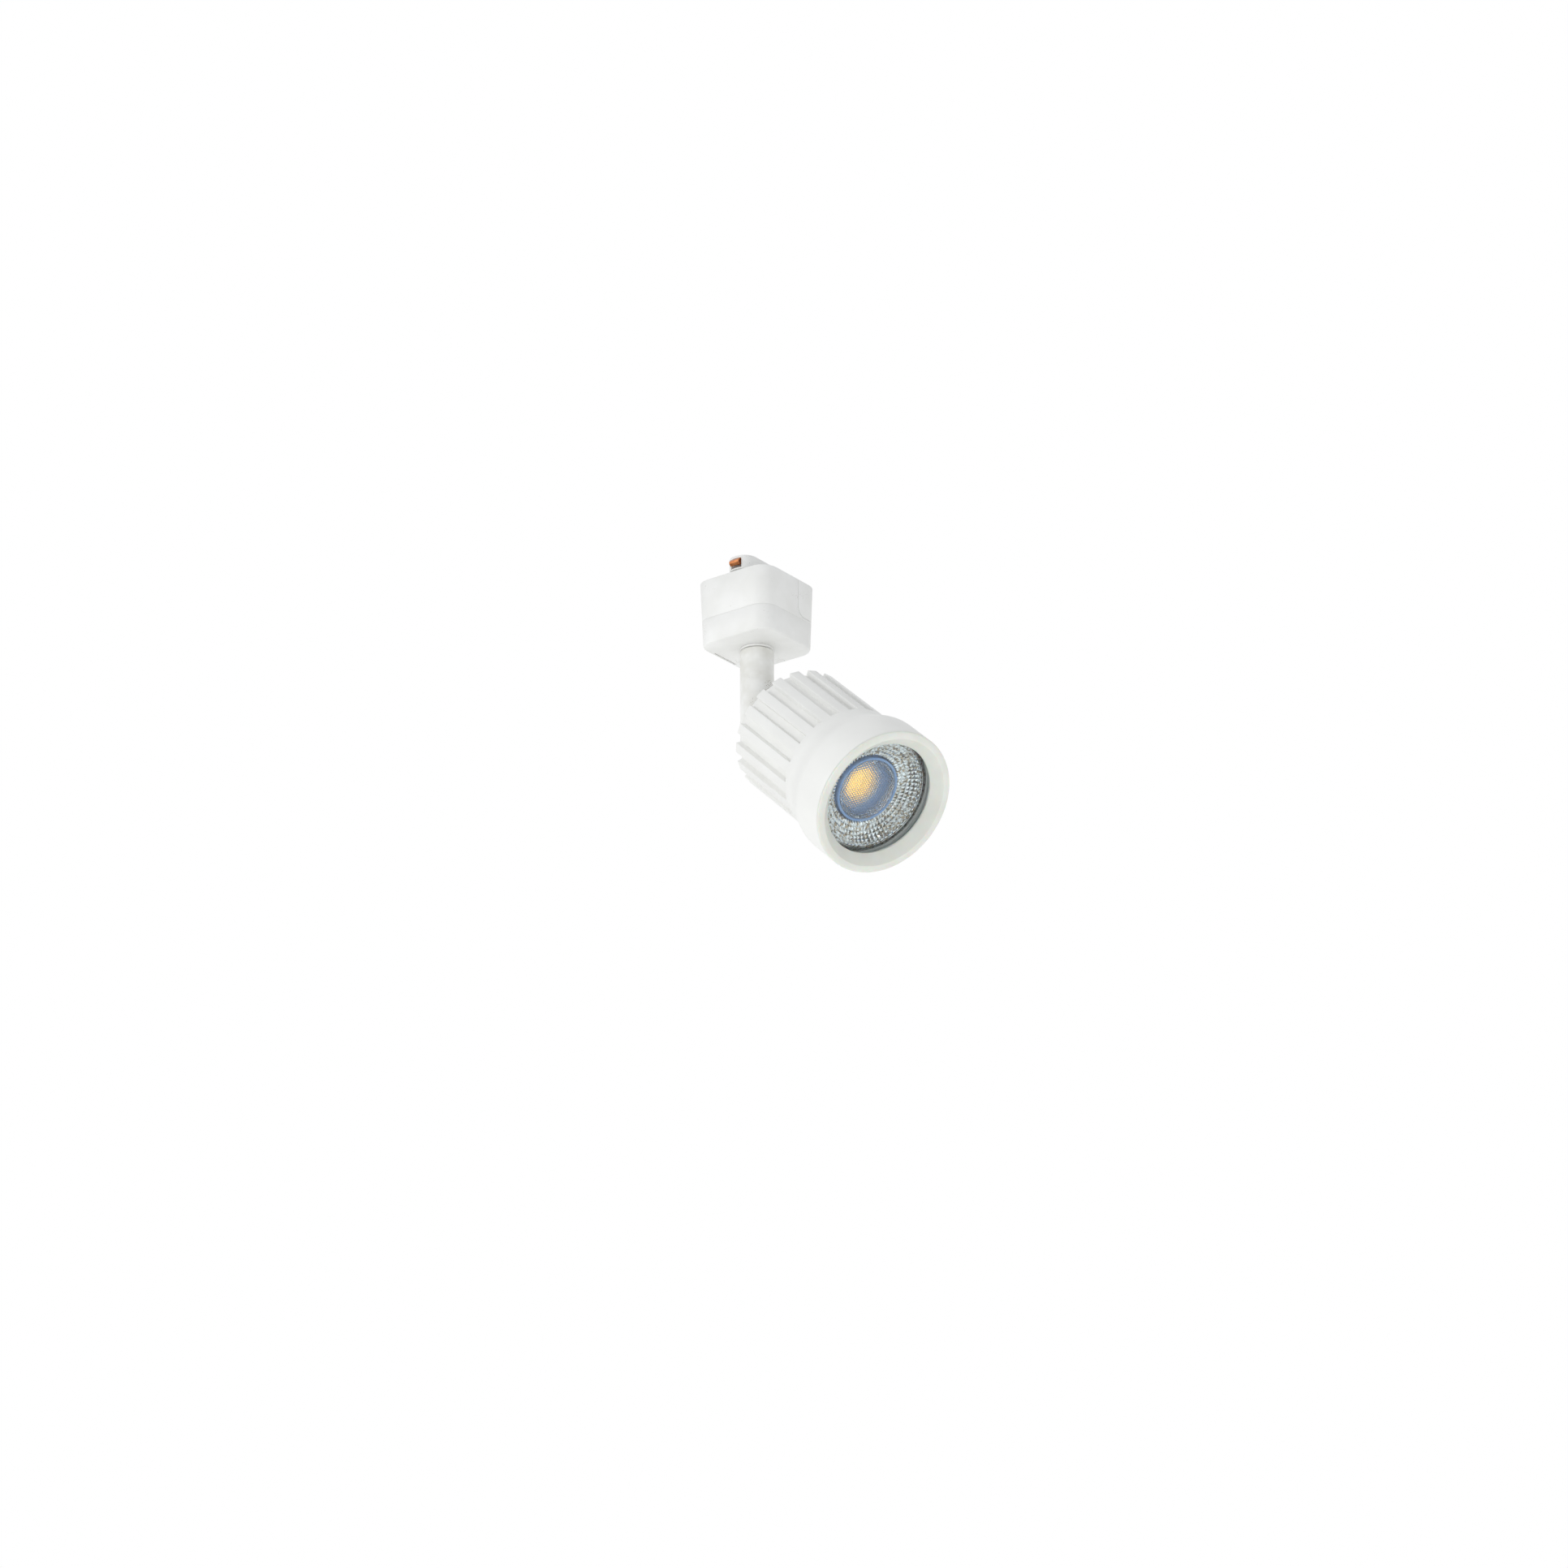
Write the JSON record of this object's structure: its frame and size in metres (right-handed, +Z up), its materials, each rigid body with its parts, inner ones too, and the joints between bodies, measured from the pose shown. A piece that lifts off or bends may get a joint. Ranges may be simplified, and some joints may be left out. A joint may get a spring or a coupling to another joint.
{
  "type": "track spotlight",
  "caption": "Track spotlight: square track adapter with a release latch, short swivel stem and a tilting finned lamp head with a flared bell, frosted bezel and honeycomb lens.",
  "frame": {"origin": "centre of the adapter's seat face, which lies against the track, on the stem's swivel axis", "axes": "+Z up into the track, X along the track, Y across it; the lamp points to +X and down"},
  "size_m": [0.1009, 0.0606, 0.1344],
  "materials": {
    "white_paint": "satin white paint on cast and turned aluminium",
    "white_plastic": "fine matt moulding",
    "frosted_plastic": "frosted translucent ring",
    "clear_glass": "clear, polished",
    "clear_acrylic": "clear moulded optic",
    "bright_reflector": "bright metallised facets",
    "phosphor": "yellow phosphor gel",
    "ceramic": "ceramic board",
    "copper": "bright copper leaf",
    "steel": "zinc plated",
    "grey_silicone": "soft grey silicone",
    "black_plastic": "matt black moulding",
    "circuit_board": "green laminate",
    "yellow_tape": "tape over a ferrite core",
    "red_sleeve": "red sleeve",
    "black_sleeve": "black sleeve",
    "brown_sleeve": "brown sleeve",
    "blue_sleeve": "blue sleeve"
  },
  "bodies": {
    "adapter": {"adapter_shell": "white_plastic", "adapter_base": "white_plastic", "adapter_lid": "white_plastic", "lid_screw_1": "steel", "lid_screw_2": "steel", "terminal_hatch": "white_plastic", "contact_turret": "white_plastic", "contact_live": "copper", "contact_neutral": "copper", "terminal_block": "black_plastic", "live_lead": "brown_sleeve", "neutral_lead": "blue_sleeve", "latch_spring": "steel", "stem_bush": "white_plastic"},
    "latch": {"release_latch": "white_plastic"},
    "stem": {"stem_tube": "white_paint", "stop_washer": "steel", "spring_washer": "steel", "stem_nut": "steel", "pivot_bolt": "steel", "pivot_nut": "steel", "pivot_washer_near": "black_plastic", "pivot_washer_far": "black_plastic"},
    "head": {"finned_housing": "white_paint", "bezel_ring": "frosted_plastic", "front_glass": "clear_glass", "glass_gasket": "grey_silicone", "reflector": "bright_reflector", "honeycomb_lens": "clear_acrylic", "lens_cup": "clear_acrylic", "led_holder": "white_plastic", "holder_screw_1": "steel", "holder_screw_2": "steel", "led_phosphor": "phosphor", "led_board": "ceramic", "thermal_pad": "grey_silicone", "led_lead_positive": "red_sleeve", "led_lead_negative": "black_sleeve", "driver_liner": "black_plastic", "driver_board": "circuit_board", "driver_transformer": "yellow_tape", "bulk_capacitor": "black_sleeve", "film_capacitor": "red_sleeve", "rear_cap": "white_paint", "cap_screw_1": "steel", "cap_screw_2": "steel", "cap_screw_3": "steel", "cap_grommet": "black_plastic"}
  },
  "joints": [
    {"name": "stem_pan", "type": "hinge", "parent": "adapter", "child": "stem", "pos_m": [0, 0, -0.0255], "axis": [0, 0, 1], "range_deg": [-150, 172]},
    {"name": "head_tilt", "type": "hinge", "parent": "stem", "child": "head", "pos_m": [0, 0, -0.06], "axis": [0.2045, 0.9789, 0], "range_deg": [-36.4, 48.6]},
    {"name": "latch_slide", "type": "slide", "parent": "adapter", "child": "latch", "axis": [0, 0, -1], "range_m": [0, 0.0032], "stiffness_N_per_m": 400, "springref_m": -0.004, "deforming": ["latch_spring"]}
  ]
}
